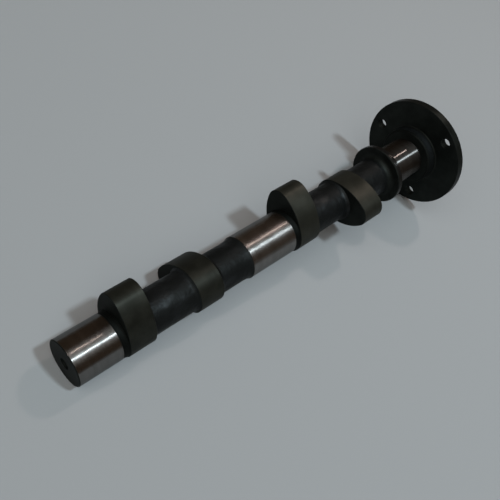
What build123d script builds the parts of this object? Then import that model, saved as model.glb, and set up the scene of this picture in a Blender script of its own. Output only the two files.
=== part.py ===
"""One-piece chilled-iron camshaft of a flat-four pushrod engine.

The shaft lies along X with +X towards the timing gear and +Z up. The origin is on the axis, in the
plane of the face that the timing gear is bolted against. Lengths are millimetres, angles degrees.
Angles about the shaft are measured from +Y towards +Z.
"""

from build123d import *
import math
import os

# ---------------------------------------------------------------------------
# Driving dimensions
# ---------------------------------------------------------------------------

# Bearing journals: plain running diameter, and the ground length of each one
journal_diameter = 25.0
end_journal_length = 24.0
centre_journal_length = 31.9
thrust_journal_length = 26.6

# Free end to gear face, and the places along the shaft that are measured from the free end
shaft_length = 264.0
lobe_centres = (34.8, 77.5, 148.7, 190.1)
centre_journal_start = 106.2

# Necks and barrels: how far each as-cast diameter lies below the journals
neck_step = 0.6
barrel_step = 2.0
journal_edge = 0.3
end_chamfer = 0.4

# Lobes
base_circle_step = 1.3
lobe_width = 15.1
lobe_lift = 11.4
nose_radius = 8.4
flank_angle = 99.0
lobe_edge = 0.2

# Valve timing: nose of the first lobe, exhaust to inlet, and one cylinder pair to the other
first_lobe_angle = 69.4
lobe_separation = 107.4
pair_offset = 90.0

# Thrust collar
collar_width = 3.6
collar_step = 11.4
collar_edge = 0.5

# As-cast corners: each barrel leaves a lobe's face down a 45 degree slope that runs out in a fillet
barrel_slope = 1.2
barrel_fillet = 2.0
collar_fillet = 3.0

# As-cast rises, each in two slopes: along the neck up to a lobe, and along the barrel up to the
# centre journal. The second slope of each is the steeper one
neck_rise = 0.25
neck_last_run = 1.8
shoulder_rise = 0.3
shoulder_run = 4.5
shoulder_last_run = 1.2

# Grinding relief beside the collar
relief_width = 1.2
relief_depth = 0.3

# Gear bolts: M8 tapped holes on a pitch circle, measured over the crests of the thread
bolt_count = 3
bolt_circle_diameter = 56.0
bolt_hole_diameter = 6.5
first_bolt_angle = 1.6

# Timing gear flange: the wall left outside the bolt holes sets its diameter
flange_rim_wall = 3.65
flange_thickness = 5.0
flange_edge = 0.2

# Boss behind the flange, as large across as the collar: the bearing thrusts against both
boss_length = 7.0
boss_edge = 0.8
boss_fillet = 1.0

# Gear pilot boss, with the slot that drives the oil pump tongue
pilot_diameter = 28.0
pilot_length = 6.0
pilot_edge = 0.8
slot_width = 5.2
slot_depth = 5.0

# Centre holes for turning and grinding
free_centre_diameter = 6.3
gear_centre_diameter = 9.0
centre_drill_diameter = 2.5
centre_drill_depth = 9.0
centre_angle = 60.0

# ---------------------------------------------------------------------------
# Derived sizes
# ---------------------------------------------------------------------------

free_end = -shaft_length
journal_r = journal_diameter / 2
neck_r = journal_r - neck_step / 2
barrel_r = journal_r - barrel_step / 2
base_r = journal_r + base_circle_step / 2
collar_r = journal_r + collar_step / 2
flange_r = (bolt_circle_diameter + bolt_hole_diameter) / 2 + flange_rim_wall
pilot_r = pilot_diameter / 2

# A core runs through each lobe, between the top of the barrel's slope and the lobe's broken edge
core_r = (barrel_r + barrel_slope + base_r - lobe_edge) / 2

# Stations: the flange, boss, thrust journal and collar follow one another back from the gear face
flange_x = -flange_thickness
boss_x = flange_x - boss_length
thrust_journal_x = boss_x - thrust_journal_length
collar_x = thrust_journal_x - collar_width
centre_journal_x = free_end + centre_journal_start

lobe_angles = (
    first_lobe_angle,
    first_lobe_angle - lobe_separation,
    first_lobe_angle - lobe_separation + pair_offset,
    first_lobe_angle + pair_offset,
)
lobe_starts = [free_end + centre - lobe_width / 2 for centre in lobe_centres]
lobe_ends = [start + lobe_width for start in lobe_starts]

# Cam profile in its own plane, nose along local X: a nose arc and a base arc joined on each side
# by a flank arc that is tangent to both
nose_centre = base_r + lobe_lift - nose_radius
radius_step = base_r - nose_radius
flank_cos = math.cos(math.radians(flank_angle))
flank_reach = (nose_centre**2 - radius_step**2) / (2 * (radius_step - nose_centre * flank_cos))
flank_radius = base_r + flank_reach
flank_centre_x = -flank_reach * flank_cos
flank_centre_y = -flank_reach * math.sin(math.radians(flank_angle))
nose_arc_half = math.degrees(math.atan2(-flank_centre_y, nose_centre - flank_centre_x))
flank_sweep = flank_angle - nose_arc_half


def neck_to_lobe(start, x):
    """Corners of a neck, from the end of a journal at start up to the lobe face at x."""
    return [
        (start, neck_r, 0.0),
        (x - neck_last_run, neck_r + neck_rise, 0.0),
        (x, core_r, 0.0),
    ]


def barrel_from_lobe(x):
    """Corners of a barrel's near end, from the lobe face at x down onto the barrel."""
    return [
        (x, core_r, 0.0),
        (x, barrel_r + barrel_slope, 0.0),
        (x + barrel_slope, barrel_r, barrel_fillet),
    ]


def barrel_to_lobe(x):
    """Corners of a barrel's far end, from the barrel up to the lobe face at x."""
    return [
        (x - barrel_slope, barrel_r, barrel_fillet),
        (x, barrel_r + barrel_slope, 0.0),
        (x, core_r, 0.0),
    ]


def corners_of_half_section():
    """Corners of the turned form from the free end to the pilot, as (x, radius, fillet)."""
    rows = [
        (free_end, 0.0, 0.0),
        (free_end, journal_r - end_chamfer, 0.0),
        (free_end + end_chamfer, journal_r, 0.0),
        (free_end + end_journal_length - journal_edge, journal_r, 0.0),
    ]
    rows += neck_to_lobe(free_end + end_journal_length, lobe_starts[0])
    # First barrel, between the first two lobes
    rows += barrel_from_lobe(lobe_ends[0]) + barrel_to_lobe(lobe_starts[1])
    # Second barrel, with the shoulder before the centre journal
    rows += barrel_from_lobe(lobe_ends[1])
    rows += [
        (centre_journal_x - shoulder_run, barrel_r, 0.0),
        (centre_journal_x - shoulder_last_run, barrel_r + shoulder_rise, 0.0),
        (centre_journal_x, neck_r, 0.0),
        (centre_journal_x + journal_edge, journal_r, 0.0),
        (centre_journal_x + centre_journal_length - journal_edge, journal_r, 0.0),
    ]
    rows += neck_to_lobe(centre_journal_x + centre_journal_length, lobe_starts[2])
    # Third barrel, between the last two lobes
    rows += barrel_from_lobe(lobe_ends[2]) + barrel_to_lobe(lobe_starts[3])
    # Last barrel, thrust collar, thrust journal, boss, flange and pilot
    rows += barrel_from_lobe(lobe_ends[3])
    rows += [
        (collar_x, barrel_r, collar_fillet),
        (collar_x, collar_r - collar_edge, 0.0),
        (collar_x + collar_edge, collar_r, 0.0),
        (thrust_journal_x - collar_edge, collar_r, 0.0),
        (thrust_journal_x, collar_r - collar_edge, 0.0),
        (thrust_journal_x, journal_r - relief_depth, 0.0),
        (thrust_journal_x + relief_width, journal_r - relief_depth, 0.0),
        (thrust_journal_x + relief_width + relief_depth, journal_r, 0.0),
        (boss_x, journal_r, 0.0),
        (boss_x, collar_r - boss_edge, 0.0),
        (boss_x + boss_edge, collar_r, 0.0),
        (flange_x, collar_r, boss_fillet),
        (flange_x, flange_r - flange_edge, 0.0),
        (flange_x + flange_edge, flange_r, 0.0),
        (-flange_edge, flange_r, 0.0),
        (0.0, flange_r - flange_edge, 0.0),
        (0.0, pilot_r, 0.0),
        (pilot_length - pilot_edge, pilot_r, 0.0),
        (pilot_length, pilot_r - pilot_edge, 0.0),
        (pilot_length, 0.0, 0.0),
    ]
    return rows


with BuildPart() as lobe:
    # One lobe, nose along +Y, from its face nearer the free end: its two faces have broken edges
    with BuildSketch(Plane.YZ) as cam_profile:
        with BuildLine() as cam_outline:
            CenterArc((nose_centre, 0), nose_radius, -nose_arc_half, 2 * nose_arc_half)
            CenterArc((flank_centre_x, flank_centre_y), flank_radius, nose_arc_half, flank_sweep)
            CenterArc((0, 0), base_r, flank_angle, 360 - 2 * flank_angle)
            CenterArc((flank_centre_x, -flank_centre_y), flank_radius, -flank_angle, flank_sweep)
        make_face()
    extrude(amount=lobe_width)
    side_faces = lobe.faces().filter_by(Axis.X)
    chamfer(side_faces.edges(), lobe_edge)


with BuildPart() as camshaft:
    # Turned form: necks, barrels and ground diameters in one half section, spun about the axis
    corners = corners_of_half_section()
    with BuildSketch(Plane.XZ) as half_section:
        with BuildLine() as outline:
            FilletPolyline(
                *[(x, radius) for x, radius, _ in corners],
                radius=[corner_fillet for _, _, corner_fillet in corners],
                close=True,
            )
        make_face()
    revolve(axis=Axis.X)

    # The four lobes, turned to their timing
    for start, angle in zip(lobe_starts, lobe_angles):
        with Locations(Location((start, 0, 0), (angle, 0, 0))):
            add(lobe.part)

    # Bolt holes through the flange
    gear_face = Plane(origin=(0, 0, 0), x_dir=(0, 1, 0), z_dir=(1, 0, 0))
    with Locations(gear_face):
        with PolarLocations(bolt_circle_diameter / 2, bolt_count, first_bolt_angle):
            Hole(bolt_hole_diameter / 2, flange_thickness)

    # Centre holes in both ends
    free_face = Plane(origin=(free_end, 0, 0), x_dir=(0, 1, 0), z_dir=(-1, 0, 0))
    pilot_face = Plane(origin=(pilot_length, 0, 0), x_dir=(0, 1, 0), z_dir=(1, 0, 0))
    for face, diameter in ((free_face, free_centre_diameter), (pilot_face, gear_centre_diameter)):
        with Locations(face):
            CounterSinkHole(
                centre_drill_diameter / 2,
                diameter / 2,
                centre_drill_depth,
                counter_sink_angle=centre_angle,
            )

    # Pump drive slot, straight across the pilot boss
    with BuildSketch(pilot_face) as slot_outline:
        Rectangle(pilot_diameter, slot_width)
    extrude(amount=-slot_depth, mode=Mode.SUBTRACT)

camshaft.part.label = "camshaft"
os.makedirs("parts", exist_ok=True)
export_step(camshaft.part, "parts/camshaft.step")
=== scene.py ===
# %% [markdown]
# # A ground camshaft in cast iron
#
# This notebook dresses a camshaft whose solid model already exists. The shaft is one casting: four cam
# lobes, three bearing journals, a thrust collar, a boss and a thin flange for the timing gear. The solid
# gives every size. What is made here is the surface that the eye meets: ground iron, phosphate and cast
# skin. The solid's own facets could be painted, but its fillets are coarse and its threads are left out,
# so a finer skin is worked out from the same sizes and takes the solid's place.

# %% Load the solid model as a fixed frame
import math

import bpy
import numpy as np
from mathutils import Matrix, Vector


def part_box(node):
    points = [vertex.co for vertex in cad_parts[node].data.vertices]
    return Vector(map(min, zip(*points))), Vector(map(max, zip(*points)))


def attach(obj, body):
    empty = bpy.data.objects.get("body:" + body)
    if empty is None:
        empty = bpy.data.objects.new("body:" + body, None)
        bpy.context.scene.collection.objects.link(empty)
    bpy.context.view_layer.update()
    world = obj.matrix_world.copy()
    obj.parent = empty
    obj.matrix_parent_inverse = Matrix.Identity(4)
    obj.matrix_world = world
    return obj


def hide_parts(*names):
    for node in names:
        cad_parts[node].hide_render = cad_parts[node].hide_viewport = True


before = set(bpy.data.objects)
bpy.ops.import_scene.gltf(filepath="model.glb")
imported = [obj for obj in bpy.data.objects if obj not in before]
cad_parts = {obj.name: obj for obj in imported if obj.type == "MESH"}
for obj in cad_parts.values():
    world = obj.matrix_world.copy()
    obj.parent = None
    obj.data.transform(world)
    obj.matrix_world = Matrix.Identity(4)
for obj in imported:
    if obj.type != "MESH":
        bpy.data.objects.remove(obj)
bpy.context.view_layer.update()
MM = 0.001
low, high = (np.array(corner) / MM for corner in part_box("camshaft"))
print("solid model from", low.round(2), "to", high.round(2), "mm")

# %% [markdown]
# ## Sizes
#
# The solid's box gives the overall lengths: the free end is at its low X, the flange's rim at its high Y
# and the end of the gear pilot at its high X. The other sizes are those of the solid, in millimetres, and
# positions run along X from the face that the timing gear sits on, which is x = 0. Numbers could stand
# where they are used, but most are used in several places, so each has a name.

# %% Sizes of the shaft
free_end = low[0]
pilot_length = high[0]
flange_r = high[1]

journal_r = 12.5
neck_r = 12.2
barrel_r = 11.5
base_r = 13.15
collar_r = 18.2
pilot_r = 14.0

end_journal_end = free_end + 24.0
centre_journal_start = free_end + 106.2
centre_journal_end = free_end + 138.1
lobe_width = 15.1
lobe_edge = 0.2
lobe_starts = [free_end + centre - lobe_width / 2 for centre in (34.8, 77.5, 148.7, 190.1)]
lobe_ends = [start + lobe_width for start in lobe_starts]

flange_thickness = 5.0
boss_length = 7.0
thrust_journal_length = 26.6
collar_width = 3.6
flange_x = -flange_thickness
boss_x = flange_x - boss_length
thrust_x = boss_x - thrust_journal_length
collar_x = thrust_x - collar_width
print("lobes start at", np.round(lobe_starts, 2), "collar at", round(collar_x, 2))

# %% [markdown]
# ## The cam outline
#
# A cam lobe for a flat-footed follower is drawn with arcs. A base circle about the shaft's axis is the
# valve at rest, a small circle further out is the nose, and a large arc on each side runs from one to the
# other without a corner. It could be sketched as a curve and extruded. Here it is kept as a formula for the
# distance from the axis at each angle, because the same formula with smaller radii gives the broken edge.

# %% Cam outline as a distance from the axis
lobe_lift = 11.4
nose_r = 8.4
flank_angle = math.radians(99.0)
nose_centre = base_r + lobe_lift - nose_r
radius_step = base_r - nose_r
flank_slack = radius_step - nose_centre * math.cos(flank_angle)
flank_reach = (nose_centre**2 - radius_step**2) / (2 * flank_slack)
flank_r = base_r + flank_reach
nose_to_flank = nose_centre + flank_reach * math.cos(flank_angle)
nose_half = math.atan2(flank_reach * math.sin(flank_angle), nose_to_flank)


def far_side(angle, distance, radius):
    """Far side of a circle, seen from the axis at an angle a from the circle's centre.

    With the centre at a distance d it is d cos a + the square root of (R squared - (d sin a) squared).
    """
    beside = distance * np.sin(angle)
    return distance * np.cos(angle) + np.sqrt(np.maximum(radius**2 - beside**2, 0.0))


def cam_radius(angle, inset):
    """Distance from the axis to the cam's outline, moved inwards by inset, at an angle from the nose.

    Near the nose it is the far side of the nose circle, then of the flank circle, whose centre lies
    beyond the axis, and past the flank angle it is the base circle.
    """
    angle = np.abs((angle + np.pi) % (2 * np.pi) - np.pi)
    nose_tip = nose_r - inset
    nose_end = np.arctan2(nose_tip * math.sin(nose_half), nose_centre + nose_tip * math.cos(nose_half))
    nose = far_side(angle, nose_centre, nose_tip)
    flank = far_side(angle - flank_angle - np.pi, flank_reach, flank_r - inset)
    return np.where(angle < nose_end, nose, np.where(angle < flank_angle, flank, base_r - inset))


check = cam_radius(np.radians([0.0, 60.0, 98.9, 99.1, 180.0]), 0.0)
print("cam radius from nose to heel", check.round(2))

# %% [markdown]
# ## The outline of the turned form
#
# Everything but the lobes is turned: spin one outline about the axis and the part is there. The casting has
# round corners where a thin barrel meets a thick collar, because a sharp corner would crack. The Bevel
# modifier could round them, but it would round every edge alike, so each corner here has its own radius.
# The stretches between the corners get a row close to each end, so that the smooth shading of a fillet
# doesn't leak along a straight journal.

# %% Rounded outlines
ARC_STEP = math.radians(9.0)
GUARD = 0.15
LONGEST = 2.4


def rounded(corners):
    """Rows (x, radius, finish) along an outline with its corners rounded.

    Each arc starts fillet * tan(turn / 2) before its corner. Its points are the arc's centre plus the
    start's offset, turned by equal shares of the corner's turn.
    """
    points = np.array([corner[:2] for corner in corners], float)
    rows = []
    for i, (x, radius, fillet, finish) in enumerate(corners):
        if not fillet:
            rows.append((x, radius, finish))
            continue
        arriving = points[i] - points[i - 1]
        leaving = points[i + 1] - points[i]
        arriving /= np.hypot(*arriving)
        leaving /= np.hypot(*leaving)
        turn = math.atan2(arriving[0] * leaving[1] - arriving[1] * leaving[0], arriving @ leaving)
        start = points[i] - arriving * fillet * math.tan(abs(turn) / 2)
        centre = start + fillet * math.copysign(1, turn) * np.array([-arriving[1], arriving[0]])
        shares = np.linspace(0, turn, 1 + math.ceil(abs(turn) / ARC_STEP))
        offset = start - centre
        arc_x = centre[0] + offset[0] * np.cos(shares) - offset[1] * np.sin(shares)
        arc_r = centre[1] + offset[0] * np.sin(shares) + offset[1] * np.cos(shares)
        rows += [(px, pr, finish) for px, pr in zip(arc_x, arc_r)]
    return rows


def split_shares(length):
    """Where a stretch of that length gets rows, as shares: close to both ends, and evenly between."""
    if length < 4 * GUARD:
        return np.array([0.0])
    inner = np.linspace(GUARD, length - GUARD, 1 + math.ceil(length / LONGEST))
    return np.concatenate([[0.0], inner]) / length


print("shares of a 6 mm stretch", split_shares(6.0).round(3))

# %% [markdown]
# ## Small sizes of the outline
#
# A real shaft has no bare corner. Each one is chamfered, rounded or broken with a stone, and each rise of
# the casting comes in two slopes. These are the places that catch the light. A round is the radius between
# two slopes, and a fillet is the radius in an inside corner. The two ends keep the small countersunk holes
# that held the shaft between the lathe's 60 degree centres.

# %% Edges, slopes and centre holes
end_chamfer = 0.4
journal_edge = 0.3
neck_rise = 0.25
neck_last_run = 1.8
neck_round = 3.0
shoulder_rise = 0.3
shoulder_run = 4.5
shoulder_last_run = 1.2
shoulder_first_round = 8.0
shoulder_last_round = 3.0
barrel_slope = 1.2
barrel_fillet = 2.0
collar_fillet = 3.0
collar_edge = 0.5
relief_width = 1.2
relief_depth = 0.3
boss_edge = 0.8
boss_round = 1.2
boss_band = 1.4
boss_fillet = 1.0
flange_edge = 0.2
pilot_edge = 0.8

centre_depth = 9.0
centre_drill_r = 1.25
free_centre_r = 3.15
gear_centre_r = 4.5
centre_slope = math.tan(math.radians(60.0 / 2))
free_sink = (free_centre_r - centre_drill_r) / centre_slope
gear_sink = (gear_centre_r - centre_drill_r) / centre_slope

# A neck or barrel ends inside the lobe's face, between the barrel's slope and the lobe's broken edge
core_r = (barrel_r + barrel_slope + base_r - lobe_edge) / 2
print("countersinks", round(free_sink, 2), round(gear_sink, 2), "deep, core radius", round(core_r, 2))

# %% [markdown]
# ## Finishes by place
#
# The casting is phosphated all over, which turns it nearly black, and then only the journals are ground
# bright again. The lobes and the collar's rim were ground before the phosphate, so they are smooth but
# dark, and the barrels between them keep the skin of the sand. The faces, necks and flange were turned.
# A painted mask could keep these apart. Here each corner of the outline names one of ten finishes, which
# holds up to the next corner, so that a finish changes exactly on an edge, as it does in the grinder.

# %% Outline from the free end to the gear end
FINISHES = [
    "cast_skin", "end_journal", "centre_journal", "thrust_journal", "ground_lobe",
    "turned_face", "neck", "collar_rim", "flange_rim", "thread",
]
(
    CAST, END_JOURNAL, CENTRE_JOURNAL, THRUST_JOURNAL, LOBE,
    TURNED, PAINTED_SHADE, COLLAR_RIM, FLANGE_RIM, THREAD,
) = range(len(FINISHES))


def neck(start, x):
    """A neck, from the end of a journal at start, rising in two slopes to the lobe's face at x."""
    # Both rows of a neck take the painted shade, a darker copy of the turned face
    return [
        (start, neck_r, 0, PAINTED_SHADE),
        (x - neck_last_run, neck_r + neck_rise, neck_round, PAINTED_SHADE),
        (x, core_r, 0, TURNED),
    ]


def from_lobe(x):
    """The start of a barrel: down a slope from the lobe's face at x, and round onto the barrel."""
    return [(x, barrel_r + barrel_slope, 0, CAST), (x + barrel_slope, barrel_r, barrel_fillet, CAST)]


def to_lobe(x):
    """The end of a barrel: round off the barrel and up a slope to the lobe's face at x."""
    return [(x - barrel_slope, barrel_r, barrel_fillet, CAST), (x, barrel_r + barrel_slope, 0, TURNED)]


end_stretch = [
    (free_end + centre_depth, centre_drill_r, 0, TURNED),
    # The countersink of the centre hole takes the painted shade, which darkens it
    (free_end + free_sink, centre_drill_r, 0, PAINTED_SHADE),
    (free_end, free_centre_r, 0, TURNED),
    (free_end, journal_r - end_chamfer, 0, TURNED),
    (free_end + end_chamfer, journal_r, 0, END_JOURNAL),
    (end_journal_end - journal_edge, journal_r, 0, TURNED),
] + neck(end_journal_end, lobe_starts[0])
first_barrel = from_lobe(lobe_ends[0]) + to_lobe(lobe_starts[1])
centre_stretch = from_lobe(lobe_ends[1]) + [
    (centre_journal_start - shoulder_run, barrel_r, shoulder_first_round, CAST),
    (centre_journal_start - shoulder_last_run, barrel_r + shoulder_rise, shoulder_last_round, CAST),
    (centre_journal_start, neck_r, 0, TURNED),
    (centre_journal_start + journal_edge, journal_r, 0, CENTRE_JOURNAL),
    (centre_journal_end - journal_edge, journal_r, 0, TURNED),
] + neck(centre_journal_end, lobe_starts[2])
third_barrel = from_lobe(lobe_ends[2]) + to_lobe(lobe_starts[3])
gear_stretch = from_lobe(lobe_ends[3]) + [
    (collar_x, barrel_r, collar_fillet, TURNED),
    (collar_x, collar_r - collar_edge, 0, TURNED),
    (collar_x + collar_edge, collar_r, 0, COLLAR_RIM),
    (thrust_x - collar_edge, collar_r, 0, TURNED),
    (thrust_x, collar_r - collar_edge, 0, TURNED),
    (thrust_x, journal_r - relief_depth, 0, TURNED),
    (thrust_x + relief_width, journal_r - relief_depth, 0, TURNED),
    (thrust_x + relief_width + relief_depth, journal_r, 0, THRUST_JOURNAL),
    (boss_x, journal_r, 0, TURNED),
    # The boss's rounded edge takes the painted shade, so that it shows no bright line
    (boss_x, collar_r - boss_edge, boss_round, PAINTED_SHADE),
    (boss_x + boss_edge, collar_r, boss_round, PAINTED_SHADE),
    (boss_x + boss_band, collar_r, 0, CAST),
    (flange_x, collar_r, boss_fillet, TURNED),
    (flange_x, flange_r - flange_edge, 0, TURNED),
    (flange_x + flange_edge, flange_r, 0, FLANGE_RIM),
    (-flange_edge, flange_r, 0, TURNED),
    (0.0, flange_r - flange_edge, 0, TURNED),
    (0.0, pilot_r, 0, TURNED),
    (pilot_length - pilot_edge, pilot_r, 0, TURNED),
    (pilot_length, pilot_r - pilot_edge, 0, TURNED),
    (pilot_length, gear_centre_r, 0, TURNED),
    (pilot_length - gear_sink, centre_drill_r, 0, TURNED),
    (pilot_length - centre_depth, centre_drill_r, 0, TURNED),
]
print("corners", [len(stretch) for stretch in (end_stretch, centre_stretch, gear_stretch)])

# %% [markdown]
# ## One skin from end to end
#
# The turned stretches and the lobes are now joined into one list of rows. A turned row is a ring. A lobe's
# row follows the cam outline, turned to that lobe's timing: the noses of a pair stand 107 degrees apart,
# and the second pair follows the first by a quarter turn. The lobes could be separate pieces pushed over a
# shaft, but a casting has no joint there, so the grid of rows and columns is the whole surface.

# %% Rows of the skin
first_nose = 69.4
second_nose = first_nose - 107.4
QUARTER_TURN = 90.0
lobe_angles = np.radians([first_nose, second_nose, second_nose + QUARTER_TURN, first_nose + QUARTER_TURN])

# The share of a barrel, from its start, that stays even, so that it meets its fillet
EVEN_SHARE = 0.1


def turned_rows(corners):
    """Rows of a turned stretch: x, radius, lobe number (none), inset, waviness, finish."""
    outline = rounded(corners)
    rows = []
    for here, after in zip(outline, outline[1:] + outline[-1:]):
        step = np.subtract(after[:2], here[:2])
        for share in split_shares(np.hypot(*step)):
            wavy = here[1] == after[1] == barrel_r and EVEN_SHARE < share
            rows.append((here[0] + share * step[0], here[1] + share * step[1], -1, 0.0, wavy, here[2]))
    return rows


def lobe_rows(number):
    """Rows of a lobe: both broken edges and the running surface between them."""
    start, end = lobe_starts[number], lobe_ends[number]
    width = lobe_width - 2 * lobe_edge
    running = start + lobe_edge + width * np.append(split_shares(width), 1.0)
    rows = [(start, 0.0, number, lobe_edge, 0, TURNED)]
    rows += [(x, 0.0, number, 0.0, 0, LOBE) for x in running[:-1]]
    rows += [(running[-1], 0.0, number, 0.0, 0, TURNED), (end, 0.0, number, lobe_edge, 0, TURNED)]
    return rows


skin_rows = np.array(
    turned_rows(end_stretch) + lobe_rows(0) + turned_rows(first_barrel) + lobe_rows(1)
    + turned_rows(centre_stretch) + lobe_rows(2) + turned_rows(third_barrel) + lobe_rows(3)
    + turned_rows(gear_stretch)
)
print("rows", len(skin_rows))

# %% [markdown]
# ## From rows to points
#
# Sand leaves a casting slightly uneven. A displacement texture could do that, but the barrels are the only
# places that keep it, so it is added to the rows themselves as a few slow waves. Each wave runs a whole
# number of times round the shaft, which is what makes it close on itself.

# %% The skin as a grid of points
COLUMNS = 240
WAVES = 14
WAVE_HEIGHT = 0.035
FEWEST_TURNS, TURNS_LIMIT = 2, 11
WAVE_LEAN = 0.9
random = np.random.default_rng(7)
theta = np.linspace(0, 2 * np.pi, COLUMNS, endpoint=False)


def waviness(x, angle):
    """Unevenness of the cast skin: a sum of sine waves in x and in whole turns of the angle."""
    turns = random.integers(FEWEST_TURNS, TURNS_LIMIT, (WAVES, 1, 1))
    along = random.uniform(-WAVE_LEAN, WAVE_LEAN, (WAVES, 1, 1))
    phase = random.uniform(0, 2 * np.pi, (WAVES, 1, 1))
    return np.sin(along * x + turns * angle + phase).sum(axis=0) * WAVE_HEIGHT / math.sqrt(WAVES / 2)


x, turned_r, lobe, inset, wavy, finish = (column[:, None] for column in skin_rows.T)
nose_angle = lobe_angles[lobe.astype(int)]
radius = np.where(lobe < 0, turned_r, cam_radius(theta - nose_angle, inset))
radius = radius + wavy * waviness(x, theta)
points = np.stack([x + 0 * radius, radius * np.cos(theta), radius * np.sin(theta)], axis=2)
print("grid of", points.shape[:2], "points, largest radius", radius.max().round(2))

# %% [markdown]
# ## A mesh that closes
#
# A tube of quads is left open at both ends. The ends here are the bottoms of the two small centre holes
# that the lathe held the shaft by. A bevelled cap could fill each, but nobody sees that deep, so a fan of
# triangles about one point closes it. The faces are wound so that they look outwards, and the mesh's own
# volume is the proof: it comes out positive and within a few parts in a thousand of the solid's.

# %% Meshes from grids
def quads(rows, columns):
    """Faces of a grid that closes on itself along its columns, wound to look outwards."""
    index = np.arange(rows * columns).reshape(rows, columns)
    after = np.roll(index, -1, axis=1)
    return np.stack([index[:-1], after[:-1], after[1:], index[1:]], axis=2).reshape(-1, 4)


def closed_tube(name, grid, first_tip, last_tip, materials, strip_finish):
    """A mesh object from a grid of points in millimetres, closed by a fan at each tip.

    Each strip between two rows takes the finish of its first row, and the fans take the last row's.
    """
    rows, columns = grid.shape[:2]
    first, last = rows * columns, rows * columns + 1
    ring = np.arange(columns)
    after = np.roll(ring, -1)
    end_ring, end_after = ring + (rows - 1) * columns, after + (rows - 1) * columns
    sides = quads(rows, columns)
    first_fan = np.stack([np.full(columns, first), after, ring], axis=1)
    last_fan = np.stack([end_ring, end_after, np.full(columns, last)], axis=1)
    vertices = np.vstack([grid.reshape(-1, 3), first_tip, last_tip]) * MM
    mesh = bpy.data.meshes.new(name)
    mesh.from_pydata(vertices.tolist(), [], sides.tolist() + first_fan.tolist() + last_fan.tolist())
    for material in materials:
        mesh.materials.append(material)
    fan_finish = np.full(2 * columns, strip_finish[-1])
    face_finish = np.concatenate([np.repeat(strip_finish[:-1], columns), fan_finish])
    mesh.polygons.foreach_set("material_index", face_finish.astype(np.int32))
    piece = bpy.data.objects.new(name, mesh)
    bpy.context.scene.collection.objects.link(piece)
    return piece


print("a tube of 3 rings of 4 points has", len(quads(3, 4)), "quads")

# %% [markdown]
# ## Proofs of a closed mesh
#
# A hole or a face that looks inwards is easy to miss by eye. Two sums find both. On a closed surface every
# edge has two faces, and the volume under its triangles, counted outwards from the origin, is that of the
# part. A mesh with its faces inside out has the same volume with a minus sign.

# %% Volume and open edges
def volume(mesh):
    """Volume in cubic millimetres: a sixth of the sum of a . (b x c) over the triangles a, b, c."""
    mesh.calc_loop_triangles()
    corners = np.empty(len(mesh.loop_triangles) * 3, np.int32)
    mesh.loop_triangles.foreach_get("vertices", corners)
    places = np.empty(len(mesh.vertices) * 3)
    mesh.vertices.foreach_get("co", places)
    a, b, c = np.moveaxis(places.reshape(-1, 3)[corners.reshape(-1, 3)], 1, 0)
    return float(np.einsum("ij,ij->", a, np.cross(b, c))) / 6 / MM**3


def open_edges(mesh):
    """How many edges don't have exactly two faces, from a count of each edge's face corners."""
    edge_of_corner = np.empty(len(mesh.loops), np.int32)
    mesh.loops.foreach_get("edge_index", edge_of_corner)
    return int(np.sum(np.bincount(edge_of_corner, minlength=len(mesh.edges)) != 2))


print("the solid's volume is", round(volume(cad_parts["camshaft"].data)), "cubic mm")

# %% [markdown]
# ## Writing shaders as sums
#
# A finish is a small sum over the surface: so much noise, scaled, added to a mask. Nodes can be wired by
# hand, one by one, but a sum is easier to read. This class wraps a node's output, so that adding to it,
# subtracting and multiplying each put a Math node into the tree, whichever side the number stands on.

# %% A wrapper for a node's output
class Value:
    """A node's output. Arithmetic on it adds Math nodes to the same tree."""

    def __init__(self, paint, socket):
        self.paint = paint
        self.socket = socket

    def maths(self, operation, *terms):
        return self.paint.node("ShaderNodeMath", {"operation": operation}, dict(enumerate(terms)))

    def __add__(self, other):
        return self.maths("ADD", self, other)

    def __mul__(self, other):
        return self.maths("MULTIPLY", self, other)

    def __sub__(self, other):
        return self.maths("SUBTRACT", self, other)

    def __rsub__(self, other):
        return self.maths("SUBTRACT", other, self)

    __radd__ = __add__
    __rmul__ = __mul__

    def repeat(self):
        """What is left of the value above a whole number: it runs from 0 to 1 over and over."""
        return self.maths("FRACT", self)

    def ramp(self, low, high):
        """0 below low, 1 above high and smooth between them."""
        inputs = {"Value": self, "From Min": low, "From Max": high}
        return self.paint.node("ShaderNodeMapRange", {"interpolation_type": "SMOOTHSTEP"}, inputs)


print("beside sums, a value has", [name for name in vars(Value) if not name.startswith("_")])

# %% [markdown]
# ## One method for every other node
#
# A node by hand takes a line for its type, one for each setting, one for each value and one for each link.
# One method does it in that order, because a setting can change which sockets the node has. The other
# methods are what several finishes share: noise, the place along the shaft, a blend and two kinds of
# normal. Every pattern reads the piece's own coordinates, so it stays on the piece however it is turned.

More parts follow.
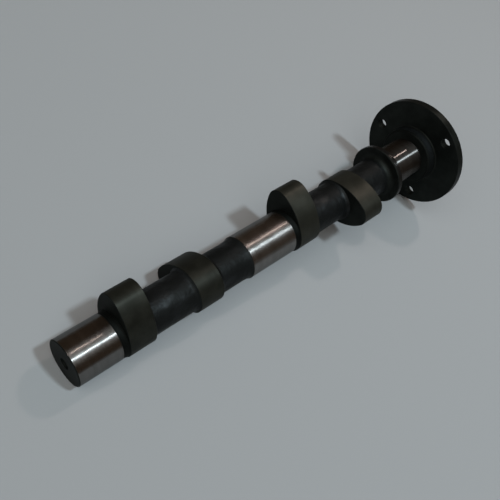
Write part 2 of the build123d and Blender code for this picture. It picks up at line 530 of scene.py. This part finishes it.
# %% Paint for materials and for the room
class Paint:
    """The node tree of a new material, or of the room, whose nodes are all added by one method.

    A material reads its place as Object coordinates, and the room reads the direction as Generated ones.
    """

    def __init__(self, owner, coordinates="Object"):
        owner.use_nodes = True
        self.owner = owner
        self.tree = owner.node_tree
        self.tree.nodes.clear()
        self.place = self.node("ShaderNodeTexCoord", {}, {}, coordinates)

    def node(self, kind, settings, inputs, output=0):
        """Adds a node, sets its settings, then the values or links of its sockets; returns one output."""
        node = self.tree.nodes.new(kind)
        for key, value in settings.items():
            setattr(node, key, value)
        for key, value in inputs.items():
            if isinstance(value, Value):
                self.tree.links.new(value.socket, node.inputs[key])
            else:
                node.inputs[key].default_value = value
        return Value(self, node.outputs[output]) if node.outputs else None

    def noise(self, per_metre, detail=2.0, roughness=0.5):
        """Noise with so many features to a metre along X, Y and Z."""
        where = self.node("ShaderNodeVectorMath", {"operation": "MULTIPLY"}, {0: self.place, 1: per_metre})
        inputs = {"Vector": where, "Scale": 1.0, "Detail": detail, "Roughness": roughness}
        return self.node("ShaderNodeTexNoise", {}, inputs)

    def along(self):
        """The distance along X, in metres."""
        return self.node("ShaderNodeSeparateXYZ", {}, {"Vector": self.place})

    def blend(self, factor, first, second, light=1.0):
        """One colour turning into another as factor goes from 0 to 1, both times light."""
        shades = [tuple(channel * light for channel in colour) + (1.0,) for colour in (first, second)]
        inputs = {0: factor, 6: shades[0], 7: shades[1]}
        return self.node("ShaderNodeMix", {"data_type": "RGBA"}, inputs, 2)

    def bump(self, height, depth, below=None):
        """A normal bent by a height, where depth is the height's size in millimetres.

        The filter is narrow, so that marks finer than a pixel don't smear sideways.
        """
        inputs = {"Height": height, "Distance": depth * MM, "Strength": 1.0, "Filter Width": 0.02}
        if below is not None:
            inputs["Normal"] = below
        return self.node("ShaderNodeBump", {}, inputs)

    def leaning(self, slope):
        """The surface's own normal, leant along X by a slope that may vary from place to place."""
        own = self.node("ShaderNodeNewGeometry", {}, {}, "Normal")
        lean = self.node("ShaderNodeCombineXYZ", {}, {"X": slope})
        leant = self.node("ShaderNodeVectorMath", {"operation": "ADD"}, {0: own, 1: lean})
        return self.node("ShaderNodeVectorMath", {"operation": "NORMALIZE"}, {0: leant})

    def finished(self, sockets):
        """Ends the material with its shader, joins that to the output and returns the material."""
        shader = self.node("ShaderNodeBsdfPrincipled", {}, sockets, "BSDF")
        self.node("ShaderNodeOutputMaterial", {}, {"Surface": shader})
        print(self.owner.name, "has", len(self.tree.nodes), "nodes")
        return self.owner


print("paint can make", [name for name in vars(Paint) if not name.startswith("_")])

# %% [markdown]
# ## Ground journals
#
# A grinding wheel leaves fine rings round a journal. Each ring is far too narrow to see by itself, but
# together they spread a lamp's reflection along the shaft and leave it narrow across, so a journal shows
# straight bright lines from end to end. A bump could draw the rings, but it compares heights a step apart,
# and rings finer than that step come out as grain. So the normal itself is leant along X by a formula that
# swings from one side to the other within each ring. The collar's rim is ground the same way.

# %% Ground journal finish
# The reflection at a glancing angle. At white, every edge would have a pale outline
EDGE_TINT = (0.55, 0.55, 0.55, 1)
DARK_IRON = (0.20, 0.193, 0.185)
PALE_IRON = (0.24, 0.2316, 0.2232)
BANDS_PER_METRE = (420.0, 25.0, 25.0)
GENTLE_LEAN = 1.25
STEEP_LEAN = 0.45


def bright_iron(paint, bands, light):
    """The colour of bare iron, a little paler in some bands round the shaft."""
    return paint.blend(bands.ramp(0.35, 0.7), DARK_IRON, PALE_IRON, light)


def ground_journal(name, dullness, rings, spread, light, metallic=1.0):
    """Ground iron with so many rings to a metre and faint broader bands.

    The share s runs from -1 to 1 across a ring, and the lean is spread * s * (1.25 + 0.45 s squared):
    gentle leans are commoner than steep ones, so a reflection fades towards its ends.
    """
    paint = Paint(bpy.data.materials.new(name))
    bands = paint.noise(BANDS_PER_METRE)
    share = (paint.along() * rings).repeat() * 2.0 - 1.0
    lean = share * (share * share * STEEP_LEAN + GENTLE_LEAN) * spread
    return paint.finished({
        "Base Color": bright_iron(paint, bands, light),
        "Metallic": metallic,
        "Roughness": dullness + bands * 0.05,
        "Specular IOR Level": 0.25,
        "Specular Tint": EDGE_TINT,
        "Normal": paint.leaning(lean),
    })


ringed = [
    ground_journal("end_journal", dullness=0.16, rings=4200.0, spread=0.224, light=0.78),
    ground_journal("centre_journal", dullness=0.23, rings=3300.0, spread=0.215, light=1.02),
    ground_journal("collar_rim", dullness=0.15, rings=2200.0, spread=0.25, light=0.12, metallic=0.7),
]

# %% [markdown]
# ## Polished thrust journal
#
# The journal beside the collar is polished finer. Seen from the camera, the surface that would mirror the
# cool lamp leans about 20 degrees towards the free end, so only the tail of the spread light makes its
# line. Drawn rings give that line specks, because few of them lean so far. So this journal uses the
# shader's own stretched highlight, its anisotropy, which starts out running round the object's Z axis. A
# quarter turn would set it along X on top of the shaft, and the small rest of the rotation sets it
# straight where that line falls. All normals lean a little towards the free end, which turns the journal
# to the cool lamp and makes its line as bright as rings would.

# %% Polished journal finish
STRETCH_TURN = 0.278


def polished_journal(name, dullness, lean, light):
    """Bright ground iron whose rings are too fine to draw: the shader spreads the light along X."""
    paint = Paint(bpy.data.materials.new(name))
    bands = paint.noise(BANDS_PER_METRE)
    return paint.finished({
        "Base Color": bright_iron(paint, bands, light),
        "Metallic": 1.0,
        "Roughness": dullness + bands * 0.04,
        "Anisotropic": 1.0,
        "Anisotropic Rotation": STRETCH_TURN,
        "Specular Tint": EDGE_TINT,
        "Normal": paint.leaning(lean),
    })


thrust = polished_journal("thrust_journal", dullness=0.235, lean=-0.16, light=0.42)

# %% [markdown]
# ## Ground lobes under phosphate
#
# The lobes are ground too, but the phosphate covers them with a thin crystal layer. It is dark, a little
# olive, and dull: the lamp's reflection becomes a broad soft sheen. A coat over bare iron could imitate the
# layer, but it is rougher than the metal and hides it, so one dull, dark, half metallic surface is closer.
# The colour is paler on the two lobes nearer the gear, which brightens their sheen.

# %% Ground lobe finish
MARKS_PER_METRE = (2600.0, 90.0, 90.0)
LOBE_CLOUDS_PER_METRE = (110.0, 110.0, 110.0)

# Metres along X between which the colour turns paler towards the gear
PALER_FROM, PALER_TO = -0.17, -0.11
DARK_OLIVE = (0.018, 0.019, 0.0152)
PALE_OLIVE = (0.042, 0.043, 0.035)


def ground_lobe(name):
    """Dark olive phosphate over ground iron: a broad sheen, fine marks and slow clouding."""
    paint = Paint(bpy.data.materials.new(name))
    marks = paint.noise(MARKS_PER_METRE)
    clouds = paint.noise(LOBE_CLOUDS_PER_METRE, detail=3.0, roughness=0.55)
    # Paler towards the gear end, which brightens the sheen of lobes 3 and 4
    paler_towards_gear = paint.along().ramp(PALER_FROM, PALER_TO)
    share = clouds.ramp(0.3, 0.72) * 0.5 + paler_towards_gear * 0.5
    return paint.finished({
        "Base Color": paint.blend(share, DARK_OLIVE, PALE_OLIVE),
        "Metallic": 0.7,
        "Roughness": 0.41 + clouds * 0.08,
        "Specular IOR Level": 0.3,
        "Specular Tint": EDGE_TINT,
        "Normal": paint.bump(marks, depth=0.05),
    })


running_surface = ground_lobe("ground_lobe")

# %% [markdown]
# ## Cast skin
#
# Sand leaves grains and shallow pits. Phosphate over it is blue-black, and where handling has worn the
# high spots it shines in patches. Geometry could carry the grains, but they are a tenth of a millimetre
# high, so two bumps do it: a fine one for the grains over a slow one for the hollows.

# %% Cast skin finish
GRAINS_PER_METRE = (900.0, 900.0, 900.0)
HOLLOWS_PER_METRE = (190.0, 190.0, 190.0)
PATCHES_PER_METRE = (75.0, 120.0, 120.0)
BLUE_BLACK = (0.012, 0.0135, 0.0135)
WORN_BLACK = (0.020, 0.0225, 0.0235)
SOFT_EDGE_TINT = (0.7, 0.7, 0.7, 1)


def cast_skin(name):
    """Blue-black cast skin: sand grain, shallow hollows and patches of sheen."""
    paint = Paint(bpy.data.materials.new(name))
    grain = paint.noise(GRAINS_PER_METRE, detail=3.0, roughness=0.6)
    hollows = paint.noise(HOLLOWS_PER_METRE)
    worn = paint.noise(PATCHES_PER_METRE).ramp(0.45, 0.65)
    return paint.finished({
        "Base Color": paint.blend(worn, BLUE_BLACK, WORN_BLACK),
        "Metallic": 0.7,
        "Roughness": 0.54 - worn * 0.14,
        "Specular IOR Level": 0.25,
        "Specular Tint": SOFT_EDGE_TINT,
        "Normal": paint.bump(grain, depth=0.12, below=paint.bump(hollows, depth=0.5)),
    })


skin_of_sand = cast_skin("cast_skin")

# %% [markdown]
# ## Turned faces under phosphate
#
# The sides of the lobes, the collar, the flange and the end of the shaft were faced in the lathe, which
# leaves fine rings about the axis. A Wave texture can draw rings, but they come out evenly spaced, and a
# tool's aren't. Here the rings are noise of one number, the distance from the axis, which the shader
# measures. The flange's rim and the threads are the same finish, smoother or paler. The darker, duller
# copy named neck is painted shade: it darkens the necks, the countersink of the free end's centre hole
# and the rounded edge of the boss.

# %% Turned face finish
RINGS_PER_METRE = 2400.0
FACE_CLOUDS_PER_METRE = (140.0, 140.0, 140.0)
DARK_FACE = (0.0099, 0.01166, 0.01045)
PALE_FACE = (0.0162, 0.01908, 0.0171)


def turned_face(name, light, dullness):
    """Nearly black phosphate over a turned face, with rings about the axis."""
    paint = Paint(bpy.data.materials.new(name))
    across = paint.node("ShaderNodeVectorMath", {"operation": "MULTIPLY"}, {0: paint.place, 1: (0, 1, 1)})
    distance = paint.node("ShaderNodeVectorMath", {"operation": "LENGTH"}, {0: across}, "Value")
    spacing = {"W": distance * RINGS_PER_METRE, "Scale": 1.0}
    rings = paint.node("ShaderNodeTexNoise", {"noise_dimensions": "1D"}, spacing)
    clouds = paint.noise(FACE_CLOUDS_PER_METRE, detail=3.0, roughness=0.55)
    return paint.finished({
        "Base Color": paint.blend(clouds.ramp(0.3, 0.72), DARK_FACE, PALE_FACE, light),
        "Metallic": 0.7,
        "Roughness": dullness + clouds * 0.12,
        "Specular IOR Level": 0.25,
        "Specular Tint": EDGE_TINT,
        "Normal": paint.bump(rings, depth=0.02),
    })


turned = [
    turned_face("turned_face", light=1.0, dullness=0.46),
    # Half as light as a turned face: painted shade on the necks, the countersink and the boss's edge
    turned_face("neck", light=0.5, dullness=0.55),
    turned_face("flange_rim", light=1.2, dullness=0.32),
    turned_face("thread", light=1.6, dullness=0.46),
]

# %% [markdown]
# ## The skin's mesh
#
# The grid becomes one closed mesh, with a finish on each strip. The mesh holds the finishes in the order
# of the numbers that the outline's corners use.

# %% Build the skin
made = ringed + [thrust, running_surface, skin_of_sand] + turned
by_name = {material.name: material for material in made}
materials = [by_name[name] for name in FINISHES]
first_tip = (free_end + centre_depth, 0.0, 0.0)
last_tip = (pilot_length - centre_depth, 0.0, 0.0)
skin = closed_tube("camshaft_skin", points, first_tip, last_tip, materials, finish[:, 0])
print("skin volume", round(volume(skin.data)), "cubic mm, open edges", open_edges(skin.data))

# %% [markdown]
# ## Threaded holes
#
# The flange takes three M8 screws. A thread is the surface whose radius depends on where the point stands
# in the screw's spiral: go once round and the whole pattern has moved on by one pitch. The tap is made as
# a closed surface like that and then cut from the flange with the Boolean modifier, as a tap cuts it. A
# Screw modifier on a small profile would also make a spiral, but an open one that couldn't be cut with.
# The tap has a row exactly on each face of the flange, so the cut falls on its own edges.

# %% Taps for the bolt holes
bolt_circle_r = 28.0
bolt_hole_r = 3.25
bolt_angles = np.radians([1.6, 121.6, 241.6])
pitch = 1.25
thread_depth = 0.7
THREAD_FADE = 0.5

# The saw is 0 in the middle of a root and 1 in the middle of a crest
CREST_FROM = 0.77
FLANK = 0.67
TAP_OVERRUN = 1.0
TAP_COLUMNS = 72
TAP_ROWS = 46


def tap(name, angle):
    """A tap standing on the bolt circle.

    Its radius is the crests' radius plus the thread's depth times a clipped saw of x / pitch - turn. The
    depth fades out over the first half millimetre from each face.
    """
    threaded = np.linspace(flange_x, 0.0, TAP_ROWS)
    along = np.concatenate([[flange_x - TAP_OVERRUN], threaded, [TAP_OVERRUN]])[:, None]
    turn = np.arange(TAP_COLUMNS) / TAP_COLUMNS
    saw = np.abs(2 * ((along / pitch - turn) % 1.0) - 1.0)
    fade = np.clip(np.minimum(along - flange_x, -along) / THREAD_FADE, 0.0, 1.0)
    wall = bolt_hole_r + thread_depth * fade * np.clip((CREST_FROM - saw) / FLANK, 0.0, 1.0)
    centre_y, centre_z = bolt_circle_r * math.cos(angle), bolt_circle_r * math.sin(angle)
    y = centre_y + wall * np.cos(2 * np.pi * turn)
    z = centre_z + wall * np.sin(2 * np.pi * turn)
    grid = np.stack([along + 0 * wall, y, z], axis=2)
    tips = [(along[i, 0], centre_y, centre_z) for i in (0, -1)]
    return closed_tube(name, grid, *tips, materials, np.full(len(along), THREAD))


taps = [tap(f"tap_{i}", angle) for i, angle in enumerate(bolt_angles)]
print("tap volume", round(volume(taps[0].data)), "cubic mm")

# %% [markdown]
# ## The pump slot
#
# The oil pump hangs on the end of the camshaft and is turned by a tongue in a slot across the pilot. The
# slot could be folded into the rows of the skin, but a milling cutter passes straight through, so the tool
# is a plain block that is cut away like the taps.

# %% Milling cutter for the slot
slot_half = 2.6
slot_floor = 1.0
CUTTER_TOP = 10.0
CUTTER_REACH = 20.0


def block(name, lowest, highest):
    """A closed box between two corners, as a tube of four columns with a tip at each end."""
    (x0, y0, z0), (x1, y1, z1) = lowest, highest
    ring = np.array([(y0, z0), (y1, z0), (y1, z1), (y0, z1)])
    grid = np.stack([np.column_stack([np.full(4, x), ring]) for x in (x0, x1)])
    tips = [(x, (y0 + y1) / 2, (z0 + z1) / 2) for x in (x0, x1)]
    return closed_tube(name, grid, *tips, materials, np.full(2, TURNED))


lowest_corner = (slot_floor, -CUTTER_REACH, -slot_half)
cutter = block("slot_cutter", lowest_corner, (CUTTER_TOP, CUTTER_REACH, slot_half))
print("cutter volume", round(volume(cutter.data)), "cubic mm")

# %% [markdown]
# ## Cutting
#
# The four tools are taken from the skin in turn. The Boolean could stay live, but its tools would then have
# to stay in the scene, so its result is kept as the skin's mesh and the tools are removed. Smooth shading
# with sharp edges above an angle keeps the fillets round and the broken edges crisp.

# %% Cut the holes and the slot
SHARP_ANGLE = math.radians(28.0)


def cut(piece, tools):
    """Cuts each tool from the piece with a Boolean modifier and keeps the result as its mesh."""
    for tool in tools:
        modifier = piece.modifiers.new(tool.name, "BOOLEAN")
        modifier.operation = "DIFFERENCE"
        modifier.solver = "EXACT"
        modifier.object = tool
    bpy.context.view_layer.update()
    evaluated = piece.evaluated_get(bpy.context.evaluated_depsgraph_get())
    result = bpy.data.meshes.new_from_object(evaluated)
    piece.modifiers.clear()
    piece.data = result
    for tool in tools:
        bpy.data.objects.remove(tool)


cut(skin, taps + [cutter])
skin.data.shade_smooth()
skin.data.set_sharp_from_angle(angle=SHARP_ANGLE)
print("volume after cutting", round(volume(skin.data)), "open edges", open_edges(skin.data))
print("triangles", len(skin.data.loop_triangles))

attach(skin, "root")
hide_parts("camshaft")

# %% [markdown]
# ## The table
#
# A bare shaft doesn't lie level: it rests on the flange's rim, a lobe and the edge of its free end. The
# shaft could be tilted on a level table, but it stays in its own frame, so the table is tilted instead: it
# is the plane through the rim and the free end, which slopes by about five degrees.

# %% Table
TABLE_SIZE = 4.0
TABLE_COLOUR = (0.352, 0.368, 0.380, 1)
rim_contact = Vector((flange_x + flange_edge, 0.0, -flange_r)) * MM
end_contact = Vector((free_end + end_chamfer, 0.0, -journal_r)) * MM
along_table = (rim_contact - end_contact).normalized()
across_table = Vector((0.0, 1.0, 0.0))
table_up = along_table.cross(across_table).normalized()


def table():
    """A square sheet through the two contacts, seen as a plain pale surface."""
    centre = (rim_contact + end_contact) / 2
    half = TABLE_SIZE / 2
    signs = ((-1, -1), (1, -1), (1, 1), (-1, 1))
    corners = [centre + along_table * half * u + across_table * half * v for u, v in signs]
    mesh = bpy.data.meshes.new("table")
    mesh.from_pydata([tuple(corner) for corner in corners], [], [(0, 1, 2, 3)])
    paint = Paint(bpy.data.materials.new("table"))
    sockets = {"Base Color": TABLE_COLOUR, "Roughness": 0.8, "Specular IOR Level": 0.2}
    mesh.materials.append(paint.finished(sockets))
    piece = bpy.data.objects.new("table", mesh)
    bpy.context.scene.collection.objects.link(piece)
    return piece


floor = table()
print("table slopes by", round(math.degrees(math.asin(-along_table.z)), 2), "degrees")

# %% [markdown]
# ## Lamps
#
# Two lamps hang over the table, a cool one high on the camera's right and a warm one beyond the gear end.
# A sun lamp would be simpler, but it stands infinitely far off, so its shadow runs one way along the whole
# shaft. Round area lamps of a real lamp's size and distance spread their shadows and soften their edges.

# %% Lamps
aim = Vector((-134.0, 0.0, 0.0)) * MM


def lamp(name, azimuth, elevation, distance, size, power, colour):
    """A round area lamp at an azimuth and elevation above the table, pointed at the shaft's middle."""
    azimuth, elevation = math.radians(azimuth), math.radians(elevation)
    flat = along_table * math.cos(azimuth) + across_table * math.sin(azimuth)
    direction = flat * math.cos(elevation) + table_up * math.sin(elevation)
    data = bpy.data.lights.new(name, "AREA")
    data.shape = "DISK"
    data.size = size
    data.energy = power
    data.color = colour
    light = bpy.data.objects.new(name, data)
    light.location = aim + direction * distance
    light.rotation_euler = direction.to_track_quat("Z", "Y").to_euler()
    bpy.context.scene.collection.objects.link(light)
    print(name, "at", [round(place, 2) for place in light.location], "m")


COOL, WARM = (0.80, 0.93, 1.0), (1.0, 0.82, 0.76)
lamp("cool_lamp", azimuth=-78.9, elevation=66.6, distance=1.78, size=0.18, power=14.6, colour=COOL)
lamp("warm_lamp", azimuth=11.5, elevation=53.9, distance=0.96, size=0.07, power=1.2, colour=WARM)

# %% [markdown]
# ## The room
#
# A bright journal shows the room more than it shows itself. The room is a dim brown dome with one broad
# bright patch overhead, which fills the shadows and which a journal mirrors between its dark bands. A
# picture of a real room could serve as the dome. The patch is a formula instead: the direction's part
# along the patch's axis, with a smooth step from the dark of the room to the light of the patch.

# %% Room
patch_axis = Vector((-0.50, -0.22, 0.84)).normalized()
PATCH_EDGE, PATCH_FULL = 0.74, 0.95
ROOM_COLOUR = (0.088, 0.062, 0.042)
PATCH_COLOUR = (1.70, 1.75, 1.72)

room = Paint(bpy.data.worlds.new("room"), "Generated")
towards = room.node(
    "ShaderNodeVectorMath", {"operation": "DOT_PRODUCT"}, {0: room.place, 1: patch_axis}, "Value"
)
dome = room.blend(towards.ramp(PATCH_EDGE, PATCH_FULL), ROOM_COLOUR, PATCH_COLOUR)
glow = room.node("ShaderNodeBackground", {}, {"Color": dome, "Strength": 1.0})
room.node("ShaderNodeOutputWorld", {}, {"Surface": glow})
bpy.context.scene.world = room.owner
print("room has", len(room.tree.nodes), "nodes")

# %% [markdown]
# ## Camera
#
# The camera stands near the free end, looks down at the middle of the shaft and is rolled, which is why the
# shaft climbs from the lower left of the picture to the upper right. A Track To constraint could aim it,
# but it has no roll, so the turn towards the aim is worked out and the roll is put before it.

# %% Camera
camera_place = Vector((-337.05, -101.98, 291.23)) * MM
camera_aim = Vector((-148.79, 0.51, 0.0)) * MM
camera_roll = math.radians(24.70)
camera_data = bpy.data.cameras.new("camera")
camera_data.sensor_width = 36.0
camera_data.lens = 48.12
camera_data.clip_start = 0.01
camera = bpy.data.objects.new("camera", camera_data)
look = (camera_aim - camera_place).to_track_quat("-Z", "Y")
roll = Matrix.Rotation(camera_roll, 3, "Z").to_quaternion()
camera.matrix_world = Matrix.LocRotScale(camera_place, look @ roll, None)
bpy.context.scene.collection.objects.link(camera)
bpy.context.scene.camera = camera
bpy.context.scene.view_settings.view_transform = "Standard"
print("camera is", round((camera_aim - camera_place).length, 3), "m from its aim")

# %% [markdown]
# ## Finish
